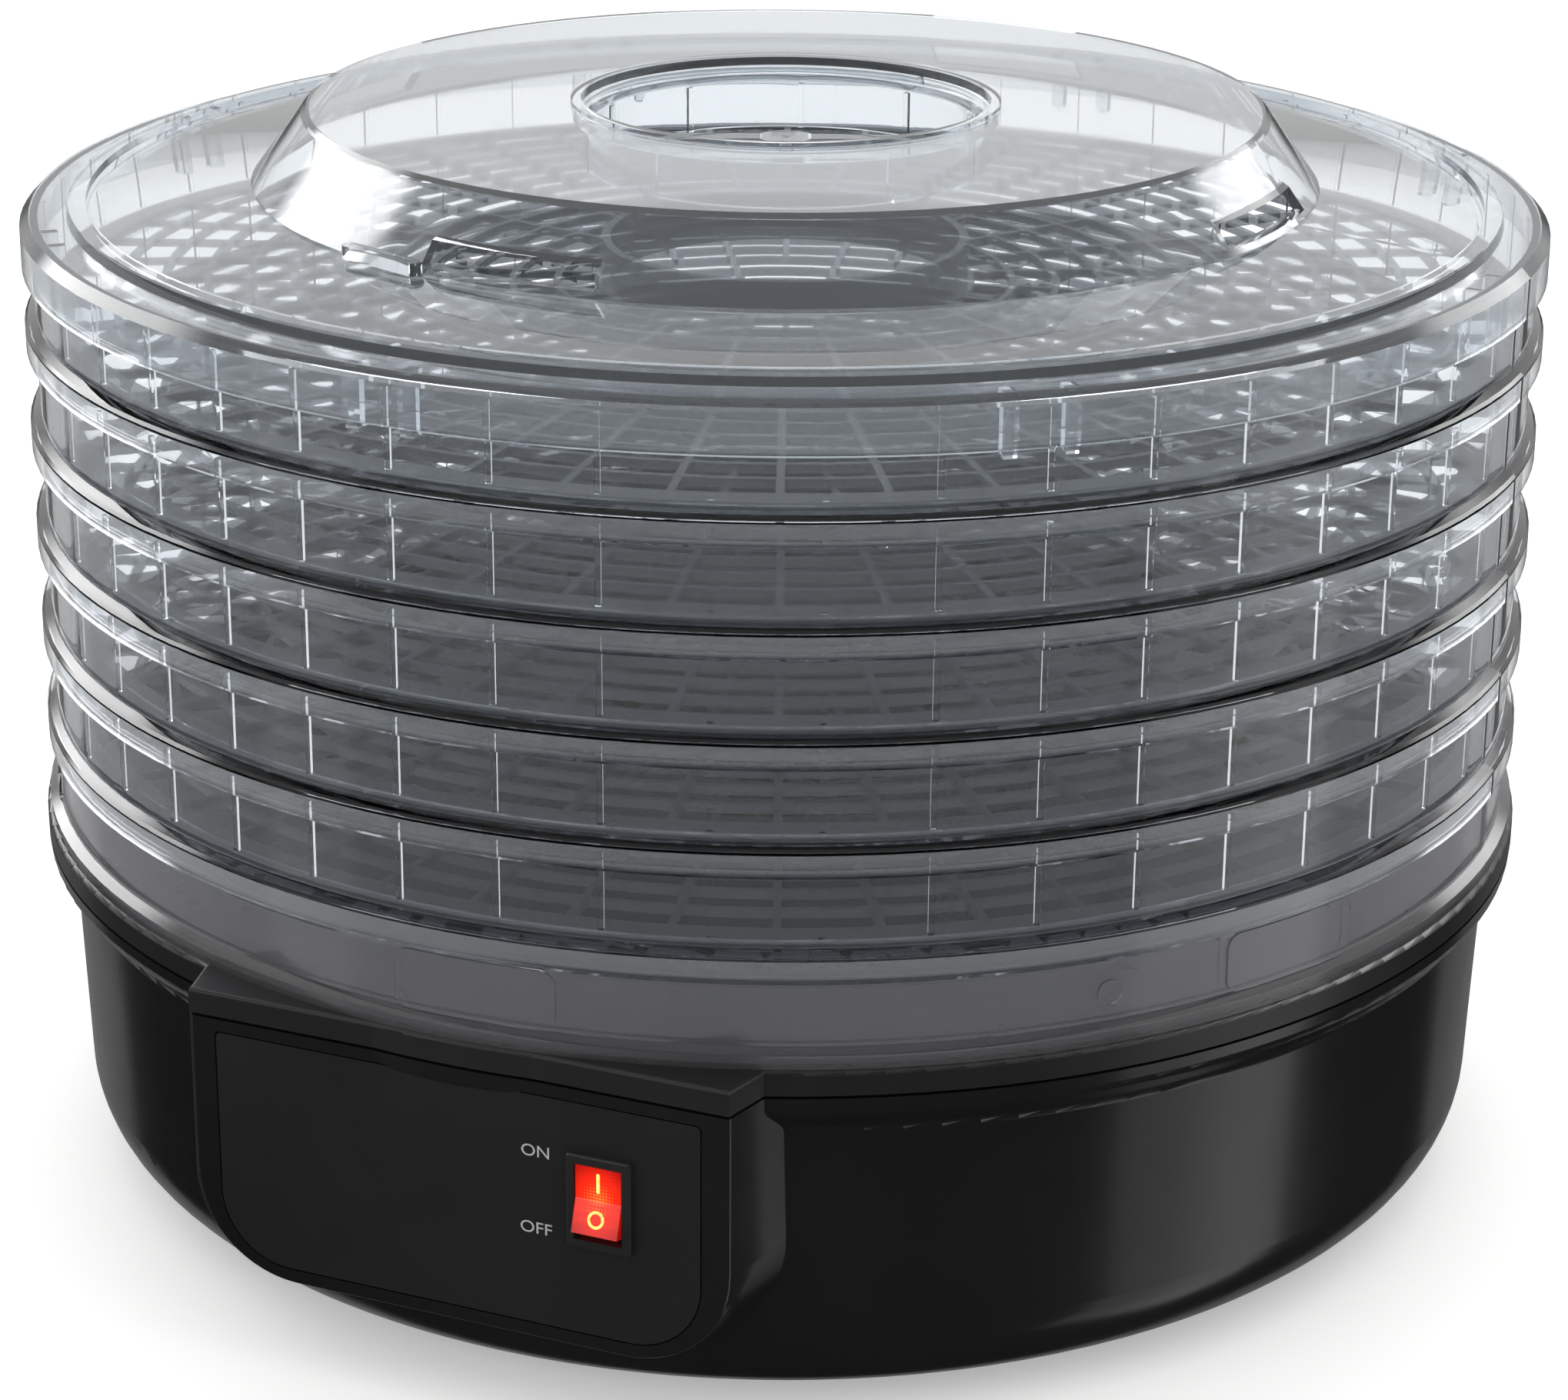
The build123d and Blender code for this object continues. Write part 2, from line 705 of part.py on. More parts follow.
# ======================================================= mains entry and wires
with BuildPart() as cord_gland:
    with BuildSketch(Plane.XZ.offset(-gland_pad_y)):
        with Locations((0, gland_z)):
            Circle(8.6)
    extrude(amount=-gland_proud)
    fillet(cord_gland.edges().group_by(Axis.Y)[-1], 1.2)
    with BuildSketch(Plane.XZ.offset(-gland_pad_y)):
        with Locations((0, gland_z)):
            Circle(gland_hole_r - 0.1)
    extrude(amount=13)
    with BuildSketch(Plane.XZ.offset(-gland_pad_y - gland_proud - 1)):
        with Locations((0, gland_z)):
            Circle(3.4)
    extrude(amount=gland_proud + 16, mode=Mode.SUBTRACT)
finish(cord_gland, "cord_gland")

block_y = post_ring_r - 20
with BuildPart() as terminal_block:
    with BuildSketch(Plane.XY.offset(plate_top_z)):
        with Locations((0, block_y)):
            Rectangle(30, 16)
    extrude(amount=12)
    with BuildSketch(Plane.XY.offset(plate_top_z + 12)):
        with Locations((0, block_y)):
            with GridLocations(10, 8, 3, 2):
                Circle(1.9)
    extrude(amount=-5, mode=Mode.SUBTRACT)
    with BuildSketch(Plane.XZ.offset(-block_y - 8)):
        with Locations((0, plate_top_z + 5)):
            with GridLocations(10, 10, 3, 1):
                Circle(1.6)
    extrude(amount=16, mode=Mode.SUBTRACT)
finish(terminal_block, "terminal_block")

wire_r = 1.1
wire_z = plate_top_z + 5
terminal_end_y = -(pod_front - switch_body_depth - terminal_length)
side_x = post_ring_r - 20
front_y = terminal_end_y + 10
wire_runs = (
    ((-10, block_y - 9, wire_z), (-10, block_y - 22, wire_z), (-72, 52, 16), (-side_x, 0, 20),
     (-84, -62, 30), (-44, front_y + 14, 42), (-16, front_y - 1, 50),
     (switch_x - 9, front_y, switch_z + 5.6), (switch_x, terminal_end_y, switch_z + 5.6)),
    ((10, block_y - 9, wire_z), (10, block_y - 22, wire_z), (72, 50, 16), (side_x, -14, 20),
     (82, -60, 30), (62, front_y + 22, 44), (switch_x + 9, front_y + 3, switch_z - 5.6),
     (switch_x, terminal_end_y, switch_z - 5.6)),
    ((0, block_y - 9, wire_z), (0, block_y - 30, wire_z), (12, 44, 16), (8, motor_r + 3, 19)),
    ((thermostat_x + 4, thermostat_y + 4, deck_under_z - 15), (66, 62, 50),
     (36, block_y - 16, 28), (14, block_y - 14, 24)),
)
with BuildPart() as wiring:
    for run in wire_runs:
        with BuildLine() as wire_path:
            FilletPolyline(*run, radius=6)
        with BuildSketch(Plane(wire_path.line @ 0, z_dir=wire_path.line % 0)):
            Circle(wire_r)
        sweep(path=wire_path.line)
finish(wiring, "wiring")

# =============================================================== control panel
with BuildPart() as control_panel:
    with BuildSketch(Plane.XZ.offset(pod_front)) as panel_outline:
        with Locations((0, (panel_bottom_z + panel_top_z) / 2)):
            Rectangle(2 * panel_half_width, panel_top_z - panel_bottom_z)
        fillet(panel_outline.vertices().group_by(Axis.Y)[0], panel_corner_r)
        fillet(panel_outline.vertices().group_by(Axis.Y)[-1], 1.0)
        with Locations((switch_x, switch_z)):
            Rectangle(
                switch_body_width + 2 * fit_gap,
                switch_body_height + 2 * fit_gap,
                mode=Mode.SUBTRACT,
            )
    extrude(amount=-panel_thickness)
finish(control_panel, "control_panel")

# =============================================================== rocker switch
# The rocker turns about a pin along X.  It is drawn in its ON place, with the
# upper half pressed in and the lower half standing out.
pivot_y = -(pod_front + bezel_proud - 5.6)
with BuildPart() as switch_body:
    with BuildSketch(Plane.XZ.offset(pod_front)):
        with Locations((switch_x, switch_z)):
            RectangleRounded(bezel_width, bezel_height, 0.8)
    extrude(amount=bezel_proud)
    fillet(switch_body.faces().sort_by(Axis.Y)[0].outer_wire().edges(), 0.5)
    with BuildSketch(Plane.XZ.offset(pod_front)):
        with Locations((switch_x, switch_z)):
            Rectangle(switch_body_width, switch_body_height)
    extrude(amount=-switch_body_depth)
    with BuildSketch(Plane.XZ.offset(pod_front + bezel_proud)):
        with Locations((switch_x, switch_z)):
            Rectangle(rocker_width + 2 * rocker_gap, 2 * 8.1)
    extrude(amount=-13.5, mode=Mode.SUBTRACT)
    with BuildSketch(Plane.YZ.offset(switch_x - switch_body_width / 2 + 0.3)):
        with Locations((pivot_y, switch_z)):
            Circle(rocker_pin_r + rocker_pin_gap)
    extrude(amount=switch_body_width - 0.6, mode=Mode.SUBTRACT)
finish(switch_body, "switch_body")

with BuildPart() as switch_rocker:
    with BuildSketch(Plane.YZ.offset(switch_x - rocker_width / 2)) as rocker_outline:
        with BuildLine():
            Polyline(
                (-rocker_apex, 0),
                (-rocker_apex - rocker_half_height * math.tan(math.radians(rocker_tilt)),
                 rocker_half_height),
                (-0.8, rocker_half_height + 0.6),
                (1.6, 3.2),
                (2.2, 0),
                (1.6, -3.2),
                (-0.8, -rocker_half_height - 0.6),
                (-rocker_apex - rocker_half_height * math.tan(math.radians(rocker_tilt)),
                 -rocker_half_height),
                close=True,
            )
        make_face()
    extrude(amount=rocker_width)
    with BuildSketch(Plane.YZ.offset(switch_x - rocker_width / 2 - 0.6)):
        Circle(rocker_pin_r)
    extrude(amount=rocker_width + 1.2)
rocker_on = switch_rocker.part.rotate(Axis.X, -rocker_tilt)
rocker_on = rocker_on.moved(Location((0, pivot_y, switch_z)))
with BuildPart() as switch_rocker:
    add(rocker_on)
finish(switch_rocker, "switch_rocker")

with BuildPart() as switch_terminals:
    with BuildSketch(Plane.XZ.offset(pod_front - switch_body_depth)):
        with Locations((switch_x, switch_z)):
            with GridLocations(10, 5.6, 1, 3):
                Rectangle(terminal_width, terminal_thickness)
    extrude(amount=-terminal_length)
finish(switch_terminals, "switch_terminals")

with BuildPart() as neon_lamp:
    with BuildSketch(Plane.YZ.offset(switch_x - 3.2)):
        with Locations((-(pod_front + bezel_proud - 13.5 + 1.7), switch_z)):
            Circle(1.6)
    extrude(amount=6.4)
finish(neon_lamp, "neon_lamp")

# ================================================================== riser ring
# Smoke-tinted ring that lifts the stack off the deck.  It has a thick lower
# lip, six raised pads round its wall and one small round boss.
with BuildPart() as riser_ring:
    with BuildSketch(Plane.XZ):
        with BuildLine():
            Polyline(
                (riser_inner_r, cover_top_z),
                (riser_lip_r, cover_top_z),
                (riser_lip_r, cover_top_z + riser_lip_h - 0.6),
                (riser_wall_r, cover_top_z + riser_lip_h + 0.6),
                (riser_wall_r, tray_zero_z - tray_skirt_drop - 1.4),
                (tray_wall_r, tray_zero_z - tray_skirt_drop - 0.6),
                (tray_wall_r, tray_zero_z),
                (riser_inner_r - 0.4, tray_zero_z),
                (riser_inner_r - 0.4, tray_zero_z - tray_skirt_drop),
                (riser_inner_r, tray_zero_z - tray_skirt_drop - 1.4),
                close=True,
            )
        make_face()
    revolve(axis=Axis.Z)
    pad_z = cover_top_z + riser_lip_h + 0.6 + riser_pad_height / 2
    pad_half = math.degrees(riser_pad_width / 2 / riser_wall_r)
    for n in range(riser_pad_count):
        pad_heading = 1.4 + n * 360 / riser_pad_count
        pad_x, pad_y = polar(riser_wall_r - 4, pad_heading)
        pad_plane = Plane(
            origin=(pad_x, pad_y, pad_z),
            x_dir=(math.cos(math.radians(pad_heading)), math.sin(math.radians(pad_heading)), 0),
            z_dir=(*polar(1, pad_heading), 0),
        )
        with BuildSketch(pad_plane):
            RectangleRounded(riser_pad_width, riser_pad_height, 3)
        extrude(amount=8)
    boss_x, boss_y = polar(riser_wall_r - 1, 45.8)
    with BuildSketch(
        Plane(origin=(boss_x, boss_y, cover_top_z + 10), z_dir=(*polar(1, 45.8), 0))
    ):
        Circle(2.6)
    extrude(amount=6)
    # trim pads and boss to a thin skin on the wall, and clear the bore
    with BuildSketch(Plane.XY.offset(cover_top_z - 1)):
        Circle(riser_lip_r + 20)
        Circle(riser_lip_r, mode=Mode.SUBTRACT)
    extrude(amount=riser_height + 2, mode=Mode.SUBTRACT)
    with BuildSketch(Plane.XY.offset(cover_top_z + riser_lip_h + 0.6)):
        Circle(riser_lip_r + 20)
        Circle(riser_wall_r + riser_pad_t, mode=Mode.SUBTRACT)
    extrude(amount=riser_height, mode=Mode.SUBTRACT)
    with BuildSketch(Plane.XY.offset(cover_top_z - 1)):
        Circle(riser_inner_r)
    extrude(amount=riser_height + 1 - tray_skirt_drop - 1.4, mode=Mode.SUBTRACT)
finish(riser_ring, "riser_ring")

# ======================================================================= trays
# Each tray is a clear ring wall whose foot steps out to a short skirt that
# drops over the wall of the tray below, and an open floor of rings and ribs
# that lies on the ledge inside the step.
with BuildPart() as tray_wall:
    with BuildSketch(Plane.XZ) as wall_outline:
        with BuildLine():
            Polyline(
                (tray_ledge_r, 0),
                (tray_sleeve_r, 0),
                (tray_sleeve_r, -tray_skirt_drop),
                (tray_skirt_r, -tray_skirt_drop),
                (tray_skirt_r, tray_step_t - 0.6),
                (tray_skirt_r - 0.6, tray_step_t),
                (tray_wall_r, tray_step_t + 0.8),
                (tray_wall_r, tray_pitch),
                (tray_inner_r, tray_pitch),
                (tray_inner_r, tray_step_t),
                (tray_ledge_r, tray_step_t),
                close=True,
            )
        make_face()
    revolve(axis=Axis.Z)
    with BuildSketch(Plane.XY.offset(tray_step_t + grid_thickness + 0.4)):
        with PolarLocations(tray_inner_r - wall_rib_d / 2 + 0.3, wall_rib_count, 3):
            Rectangle(wall_rib_d + 0.6, wall_rib_w)
    extrude(amount=tray_pitch - tray_step_t - grid_thickness - 2.0)

grid_r = tray_inner_r - grid_gap
collar_r = air_hole_r + air_collar_t
rim_r = tray_ledge_r - 1.5
with BuildPart() as tray_grid:
    with BuildSketch(Plane.XY.offset(tray_step_t)):
        Circle(grid_r)
        Circle(rim_r, mode=Mode.SUBTRACT)
        for n in range(ring_steps - 1, -1, -1):
            ring_r = grid_split_r + n * (rim_r - grid_split_r) / ring_steps
            Circle(ring_r + grid_ring_w / 2)
            Circle(ring_r - grid_ring_w / 2, mode=Mode.SUBTRACT)
        for n in range(ring_steps - 1, 0, -1):
            ring_r = collar_r + n * (grid_split_r - collar_r) / ring_steps
            Circle(ring_r + grid_ring_w / 2)
            Circle(ring_r - grid_ring_w / 2, mode=Mode.SUBTRACT)
        Circle(collar_r + 1.5)
        Circle(air_hole_r, mode=Mode.SUBTRACT)
        with PolarLocations((grid_split_r + rim_r) / 2, grid_outer_ribs):
            Rectangle(rim_r - grid_split_r + 1, grid_rib_w)
        with PolarLocations((collar_r + grid_split_r) / 2, grid_inner_ribs):
            Rectangle(grid_split_r - collar_r + 1, grid_rib_w)
    extrude(amount=grid_thickness)
    with BuildSketch(Plane.XY.offset(tray_step_t)):
        Circle(collar_r)
        Circle(air_hole_r, mode=Mode.SUBTRACT)
    extrude(amount=air_collar_h)

for n in range(tray_count):
    floor_z = tray_zero_z + n * tray_pitch
    with BuildPart() as tray_shell:
        add(tray_wall.part.moved(Location((0, 0, floor_z))))
    finish(tray_shell, f"tray_{n + 1}_wall")
    with BuildPart() as tray_floor:
        add(tray_grid.part.moved(Location((0, 0, floor_z))))
    finish(tray_floor, f"tray_{n + 1}_floor")

# ========================================================================= lid
# Clear lid: a skirt over the top tray, a raised bead, a cone up to a flat top
# with the air vent in its middle.  Four slots open through the foot of the cone.
shoulder_z = lid_zero_z + lid_wall
bead_z = shoulder_z + lid_step_h - 2.2
cone_z = shoulder_z + lid_foot_rise
with BuildPart() as lid:
    with BuildSketch(Plane.XZ) as lid_outline:
        with BuildLine():
            Polyline(
                (vent_r, lid_top_z),
                (plateau_r - 1.2, lid_top_z),
                (plateau_r, lid_top_z - 1.2),
                (lid_foot_r, cone_z),
                (lid_step_r - 4.2, shoulder_z + 0.9),
                (lid_step_r - 4.2, bead_z),
                (lid_step_r - 0.4, bead_z),
                (lid_step_r, shoulder_z),
                (tray_skirt_r - 2.0, shoulder_z),
                (tray_skirt_r, shoulder_z - 2.0),
                (tray_skirt_r, lid_zero_z - lid_skirt_drop),
                (tray_sleeve_r, lid_zero_z - lid_skirt_drop),
                (tray_sleeve_r, lid_zero_z),
                (lid_step_r - 5.8, lid_zero_z),
                (lid_foot_r - 1.2, cone_z - lid_wall),
                (plateau_r - lid_wall, lid_top_z - lid_wall),
                (vent_r, lid_top_z - lid_wall),
                close=True,
            )
        make_face()
    revolve(axis=Axis.Z)
    # stepped collar that hangs from the vent opening
    with BuildSketch(Plane.XZ):
        with BuildLine():
            Polyline(
                (vent_r, lid_top_z + vent_lip_h),
                (vent_r + vent_lip_w, lid_top_z + vent_lip_h),
                (vent_r + vent_lip_w, lid_top_z - lid_wall),
                (vent_r + lid_wall, lid_top_z - vent_step_drop),
                (vent_r - vent_step_w + lid_wall, lid_top_z - vent_step_drop),
                (vent_r - vent_step_w + lid_wall, lid_top_z - vent_collar_drop),
                (vent_r - vent_step_w, lid_top_z - vent_collar_drop),
                (vent_r - vent_step_w, lid_top_z - vent_step_drop + lid_wall),
                (vent_r, lid_top_z - vent_step_drop + lid_wall),
                close=True,
            )
        make_face()
    revolve(axis=Axis.Z)
    # upright ribs on the inside of the collar
    with BuildSketch(Plane.XY.offset(lid_top_z - vent_collar_drop)):
        with PolarLocations(vent_r - vent_step_w - vent_rib_d / 2 + 0.2, vent_rib_count):
            Rectangle(vent_rib_d + 0.4, vent_rib_w)
    extrude(amount=vent_collar_drop - vent_step_drop)
    # slots through the foot of the cone
    for n in range(lid_slot_count):
        heading = -6 + n * 360 / lid_slot_count
        with BuildSketch(Plane.XY.offset(cone_z + 1.2)):
            with BuildLine():
                CenterArc((0, 0), lid_foot_r + 6, heading - 90 - lid_slot_angle / 2, lid_slot_angle)
                CenterArc((0, 0), lid_foot_r - 9, heading - 90 - lid_slot_angle / 2, lid_slot_angle)
                Line(
                    polar(lid_foot_r + 6, heading - lid_slot_angle / 2),
                    polar(lid_foot_r - 9, heading - lid_slot_angle / 2),
                )
                Line(
                    polar(lid_foot_r + 6, heading + lid_slot_angle / 2),
                    polar(lid_foot_r - 9, heading + lid_slot_angle / 2),
                )
            make_face()
        extrude(amount=lid_slot_height, mode=Mode.SUBTRACT)
    # pairs of locating ribs under the shoulder that stand inside the top tray
    for n in range(lid_rib_pairs):
        for side in (-1, 1):
            heading = -5.2 + n * 360 / lid_rib_pairs
            rib_x, rib_y = polar(tray_inner_r - fit_gap - 1.7, heading)
            with BuildSketch(Plane.XY.offset(lid_zero_z)):
                with Locations(Location((rib_x, rib_y, 0), (0, 0, heading))):
                    with Locations((side * lid_rib_spread / 2, 0)):
                        Rectangle(lid_rib_w, 3.4)
            extrude(amount=-lid_skirt_drop - 2.6)
    with BuildSketch(Plane.XY.offset(lid_zero_z - lid_skirt_drop - 4)):
        Circle(tray_skirt_r)
        Circle(tray_inner_r - fit_gap, mode=Mode.SUBTRACT)
    extrude(amount=3.9)
    with BuildSketch(Plane.XY.offset(lid_zero_z - lid_skirt_drop - 4)):
        Circle(tray_skirt_r + 4)
        Circle(tray_inner_r - fit_gap, mode=Mode.SUBTRACT)
    extrude(amount=4, mode=Mode.SUBTRACT)
    # small moulded tab on the cone foot
    tab_x, tab_y = polar(lid_foot_r + 0.5, -20.8)
    with BuildSketch(Plane.XY.offset(cone_z - 1)):
        with Locations(Location((tab_x, tab_y, 0), (0, 0, -20.8))):
            RectangleRounded(22, 3.4, 1.5)
    extrude(amount=3.4)
finish(lid, "lid")

# Bar across the vent that the lid is lifted by: a boss at the middle and two
# arms that end in the collar wall, with a rib ring in its shadow.
bar_z = lid_top_z - 8.0
bar_reach = vent_r - vent_step_w
with BuildPart() as vent_bridge:
    with BuildSketch(Plane.XY.offset(bar_z - 3)):
        with BuildLine():
            Polyline(
                (-bar_reach - 1, -3.2),
                (-bar_boss_r, -2.4),
                (bar_boss_r, -2.4),
                (bar_reach + 1, -1.7),
                (bar_reach + 1, 1.7),
                (bar_boss_r, 2.4),
                (-bar_boss_r, 2.4),
                (-bar_reach - 1, 3.2),
                close=True,
            )
        make_face()
        Circle(bar_boss_r)
        Circle(bar_reach, mode=Mode.INTERSECT)
    extrude(amount=3)
    with BuildSketch(Plane.XY.offset(bar_z - 1.2)):
        Circle(1.2)
    extrude(amount=2, mode=Mode.SUBTRACT)
bar_turned = vent_bridge.part.rotate(Axis.Z, bar_turn)
with BuildPart() as vent_bridge:
    add(bar_turned)
finish(vent_bridge, "vent_bridge")
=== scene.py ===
import json
import math

import bmesh
import bpy
from mathutils import Matrix, Vector


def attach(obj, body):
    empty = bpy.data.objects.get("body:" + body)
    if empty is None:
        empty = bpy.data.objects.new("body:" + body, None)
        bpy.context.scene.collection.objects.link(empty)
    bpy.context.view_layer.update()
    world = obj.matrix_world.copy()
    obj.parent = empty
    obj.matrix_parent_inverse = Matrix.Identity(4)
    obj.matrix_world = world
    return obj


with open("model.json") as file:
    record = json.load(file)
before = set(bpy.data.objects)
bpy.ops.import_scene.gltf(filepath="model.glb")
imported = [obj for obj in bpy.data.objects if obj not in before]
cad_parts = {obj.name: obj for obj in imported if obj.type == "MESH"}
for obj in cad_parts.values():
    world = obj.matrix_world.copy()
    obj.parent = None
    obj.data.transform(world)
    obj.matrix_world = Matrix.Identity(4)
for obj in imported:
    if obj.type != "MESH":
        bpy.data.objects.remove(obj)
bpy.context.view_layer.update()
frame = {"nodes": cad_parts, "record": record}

NODES = frame["nodes"]
MM = 0.001

# Panel and rocker geometry, in millimetres, as the CAD has it.
PANEL_Y = -163.5
SWITCH_X = 31.6
SWITCH_Z = 53.3
PIVOT_Y = -159.5
ROCKER_TILT = 9.3
ROCKER_APEX = 5.2

# Printed words and raised symbols, in millimetres.
LABEL_X = 17.7
LABEL_HEIGHT = 2.5
LABEL_STRETCH = 1.12
LABEL_PROUD = 0.07
LABEL_SUNK = 0.05
SYMBOL_SUNK = 0.1
SYMBOL_EDGE = 0.1
SYMBOL_PROUD = 0.14
SYMBOL_PULL = 0.96

# ---------------------------------------------------------------- node helpers


class Shader:
    """A material under construction: short calls for nodes and links."""

    def __init__(self, name):
        self.mat = bpy.data.materials.new(name)
        self.mat.use_nodes = True
        self.nt = self.mat.node_tree
        self.nt.nodes.clear()
        self.out = self.node("ShaderNodeOutputMaterial")
        self.bsdf = self.node("ShaderNodeBsdfPrincipled")
        self.link(self.bsdf.outputs[0], self.out.inputs["Surface"])

    def node(self, kind, **values):
        n = self.nt.nodes.new(kind)
        for key, value in values.items():
            setattr(n, key, value)
        return n

    def link(self, a, b):
        self.nt.links.new(a, b)

    def set(self, **values):
        for key, value in values.items():
            self.bsdf.inputs[key.replace("_", " ")].default_value = value

    def coords(self, scale=(1, 1, 1)):
        tc = self.node("ShaderNodeTexCoord")
        m = self.node("ShaderNodeMapping")
        m.inputs["Scale"].default_value = scale
        self.link(tc.outputs["Object"], m.inputs["Vector"])
        return m.outputs["Vector"]

    def noise(self, scale, detail=3.0, rough=0.5, stretch=(1, 1, 1)):
        n = self.node("ShaderNodeTexNoise")
        n.inputs["Scale"].default_value = scale
        n.inputs["Detail"].default_value = detail
        n.inputs["Roughness"].default_value = rough
        self.link(self.coords(stretch), n.inputs["Vector"])
        return n.outputs["Fac"]

    def ramp(self, fac, stops):
        r = self.node("ShaderNodeValToRGB")
        el = r.color_ramp.elements
        while len(el) < len(stops):
            el.new(0.5)
        for e, (pos, col) in zip(el, stops):
            e.position = pos
            e.color = (*col, 1) if len(col) == 3 else col
        self.link(fac, r.inputs["Fac"])
        return r.outputs["Color"]

    def remap(self, fac, lo, hi, a=0.0, b=1.0):
        m = self.node("ShaderNodeMapRange")
        m.inputs["From Min"].default_value = a
        m.inputs["From Max"].default_value = b
        m.inputs["To Min"].default_value = lo
        m.inputs["To Max"].default_value = hi
        self.link(fac, m.inputs["Value"])
        return m.outputs["Result"]

    def bump(self, height, strength, distance):
        b = self.node("ShaderNodeBump")
        b.inputs["Strength"].default_value = strength
        b.inputs["Distance"].default_value = distance
        self.link(height, b.inputs["Height"])
        self.link(b.outputs["Normal"], self.bsdf.inputs["Normal"])


def moulded(name, dark, light, rough, grain=900, grain_depth=0.00002, coat=0.0):
    """Moulded plastic: faint colour drift, fine grain and a soft overall ripple."""
    s = Shader(name)
    drift = s.noise(14, 4)
    s.link(s.ramp(drift, [(0.3, dark), (0.7, light)]), s.bsdf.inputs["Base Color"])
    smear = s.noise(45, 5, 0.6)
    s.link(s.remap(smear, rough[0], rough[1], 0.3, 0.7), s.bsdf.inputs["Roughness"])
    fine = s.noise(grain, 2)
    slow = s.noise(9, 1)
    mix = s.node("ShaderNodeMath", operation="MULTIPLY_ADD")
    s.link(slow, mix.inputs[0])
    mix.inputs[1].default_value = 1.5
    s.link(fine, mix.inputs[2])
    s.bump(mix.outputs[0], 0.25, grain_depth)
    s.set(Coat_Weight=coat, Coat_Roughness=0.04, Specular_IOR_Level=0.5)
    return s.mat


def clear(name, tint, body, rough, depth):
    """Clear moulded plastic: bends and mirrors light for the eye and lets lamps through."""
    s = Shader(name)
    drift = s.noise(22, 3)
    pale = [min(1, c * 1.02) for c in tint]
    s.link(s.ramp(drift, [(0.25, tint), (0.8, pale)]), s.bsdf.inputs["Base Color"])
    smear = s.noise(60, 5, 0.6)
    s.link(s.remap(smear, rough[0], rough[1], 0.35, 0.7), s.bsdf.inputs["Roughness"])
    s.set(Transmission_Weight=body, IOR=1.50)
    s.bump(s.noise(28, 2), 0.12, depth)
    lamp = s.node("ShaderNodeBsdfTransparent")
    lamp.inputs["Color"].default_value = (*[c * 0.97 for c in tint], 1)
    path = s.node("ShaderNodeLightPath")
    mix = s.node("ShaderNodeMixShader")
    s.link(path.outputs["Is Shadow Ray"], mix.inputs["Fac"])
    s.link(s.bsdf.outputs[0], mix.inputs[1])
    s.link(lamp.outputs[0], mix.inputs[2])
    s.link(mix.outputs[0], s.out.inputs["Surface"])
    return s.mat


def veil(name, tint, shade_grey, share, rough, depth):
    """Thin clear lattice: some light goes straight through, the rest meets a dark grey gloss body,
    painted shade for how dim the stacked floors look.
    """
    s = Shader(name)
    pale = [c * 1.25 for c in shade_grey]
    s.link(s.ramp(s.noise(30, 3), [(0.3, shade_grey), (0.7, pale)]), s.bsdf.inputs["Base Color"])
    s.link(s.remap(s.noise(70, 4), rough[0], rough[1], 0.3, 0.7), s.bsdf.inputs["Roughness"])
    s.bump(s.noise(120, 2), 0.15, depth)
    through = s.node("ShaderNodeBsdfTransparent")
    through.inputs["Color"].default_value = (*tint, 1)
    mix = s.node("ShaderNodeMixShader")
    mix.inputs["Fac"].default_value = share
    s.link(through.outputs[0], mix.inputs[1])
    s.link(s.bsdf.outputs[0], mix.inputs[2])
    s.link(mix.outputs[0], s.out.inputs["Surface"])
    return s.mat


def metal(name, dark, light, rough, brush=(1, 1, 30), scale=60, depth=0.00003):
    """Rolled, plated or drawn metal with direction marks and stains."""
    s = Shader(name)
    drift = s.noise(scale, 5, 0.6, brush)
    s.link(s.ramp(drift, [(0.3, dark), (0.7, light)]), s.bsdf.inputs["Base Color"])
    stain = s.noise(scale * 2, 4, 0.5, brush)
    s.link(s.remap(stain, rough[0], rough[1], 0.3, 0.7), s.bsdf.inputs["Roughness"])
    s.bump(s.noise(scale * 5, 3, 0.5, brush), 0.3, depth)
    s.set(Metallic=1.0)
    return s.mat


def layered(name, dark, light, rough, scale, stretch, depth):
    """Pressed board or sleeve with flakes or threads."""
    s = Shader(name)
    flakes = s.noise(scale, 6, 0.7, stretch)
    s.link(s.ramp(flakes, [(0.3, dark), (0.7, light)]), s.bsdf.inputs["Base Color"])
    s.link(s.remap(s.noise(scale * 2, 4), rough[0], rough[1], 0.3, 0.7), s.bsdf.inputs["Roughness"])
    s.bump(s.noise(scale * 3, 4, 0.6, stretch), 0.5, depth)
    return s.mat


